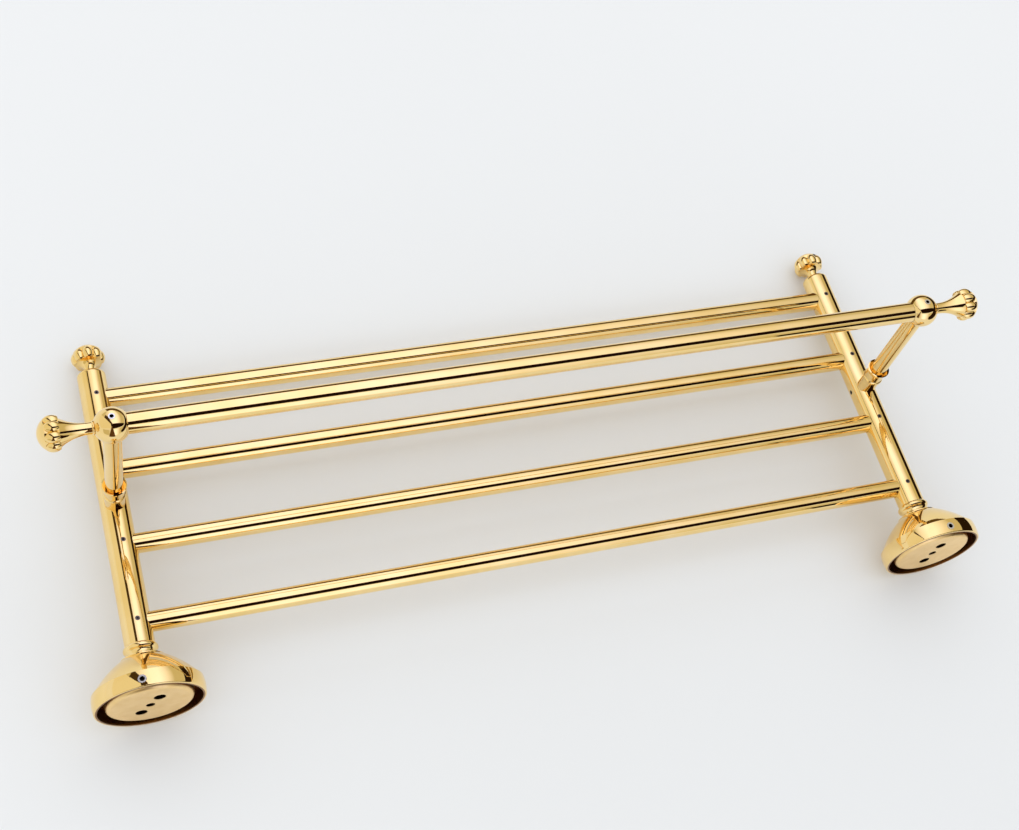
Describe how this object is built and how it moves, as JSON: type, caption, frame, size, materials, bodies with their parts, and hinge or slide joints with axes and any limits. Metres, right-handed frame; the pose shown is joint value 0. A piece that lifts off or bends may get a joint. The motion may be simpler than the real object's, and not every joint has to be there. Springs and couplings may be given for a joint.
{
  "type": "shelf towel rack",
  "caption": "Wall-mounted towel rack: round rails between two arms form a shelf, and a towel bar runs beside it on struts with balls and lobed finials.",
  "frame": {"origin": "on the wall plane, midway between the two arms, at the height of the arms' axes", "axes": "+X along the rails from the left to the right arm, +Y out of the wall, +Z from the shelf towards the towel bar (up in the picture; a turn of 180 degrees about Y hangs the towel bar below the shelf)"},
  "size_m": [0.6136, 0.251, 0.1487],
  "materials": {
    "polished_gold": "mirror-polished gold plate",
    "satin_plate": "satin, pale gold",
    "steel_screw": "turned steel",
    "small_screw": "steel with a dark socket",
    "inner_steel": "zinc-plated"
  },
  "bodies": {
    "rack": {"left_arm_tube": "polished_gold", "left_arm_end_plug": "polished_gold", "left_arm_finial": "polished_gold", "left_bead_ring": "polished_gold", "left_foot_bush": "inner_steel", "left_clamp_screw": "inner_steel", "left_rail_screws": "small_screw", "left_strut_socket": "polished_gold", "left_strut_screw": "small_screw", "left_strut_tube": "polished_gold", "left_ball": "polished_gold", "left_ball_screw": "small_screw", "left_bar_finial": "polished_gold", "left_flange": "polished_gold", "right_arm_tube": "polished_gold", "right_arm_end_plug": "polished_gold", "right_arm_finial": "polished_gold", "right_bead_ring": "polished_gold", "right_foot_bush": "inner_steel", "right_clamp_screw": "inner_steel", "right_rail_screws": "small_screw", "right_strut_socket": "polished_gold", "right_strut_screw": "small_screw", "right_strut_tube": "polished_gold", "right_ball": "polished_gold", "right_ball_screw": "small_screw", "right_bar_finial": "polished_gold", "right_flange": "polished_gold", "shelf_rail_1": "polished_gold", "shelf_rail_2": "polished_gold", "shelf_rail_3": "polished_gold", "shelf_rail_4": "polished_gold", "towel_bar": "polished_gold"},
    "left_flange_screw": {"left_flange_screw": "steel_screw"},
    "left_wall_plate": {"left_wall_plate": "satin_plate"},
    "right_flange_screw": {"right_flange_screw": "steel_screw"},
    "right_wall_plate": {"right_wall_plate": "satin_plate"}
  },
  "joints": [
    {"name": "left_plate_slide", "type": "slide", "parent": "rack", "child": "left_wall_plate", "axis": [0, -1, 0], "range_m": [0, 0.02]},
    {"name": "left_flange_screw_travel", "type": "slide", "parent": "rack", "child": "left_flange_screw", "axis": [-0.1219, 0, 0.9925], "range_m": [0, 0.003]},
    {"name": "right_plate_slide", "type": "slide", "parent": "rack", "child": "right_wall_plate", "axis": [0, -1, 0], "range_m": [0, 0.02]},
    {"name": "right_flange_screw_travel", "type": "slide", "parent": "rack", "child": "right_flange_screw", "axis": [0, 0, 1], "range_m": [0, 0.003]}
  ]
}
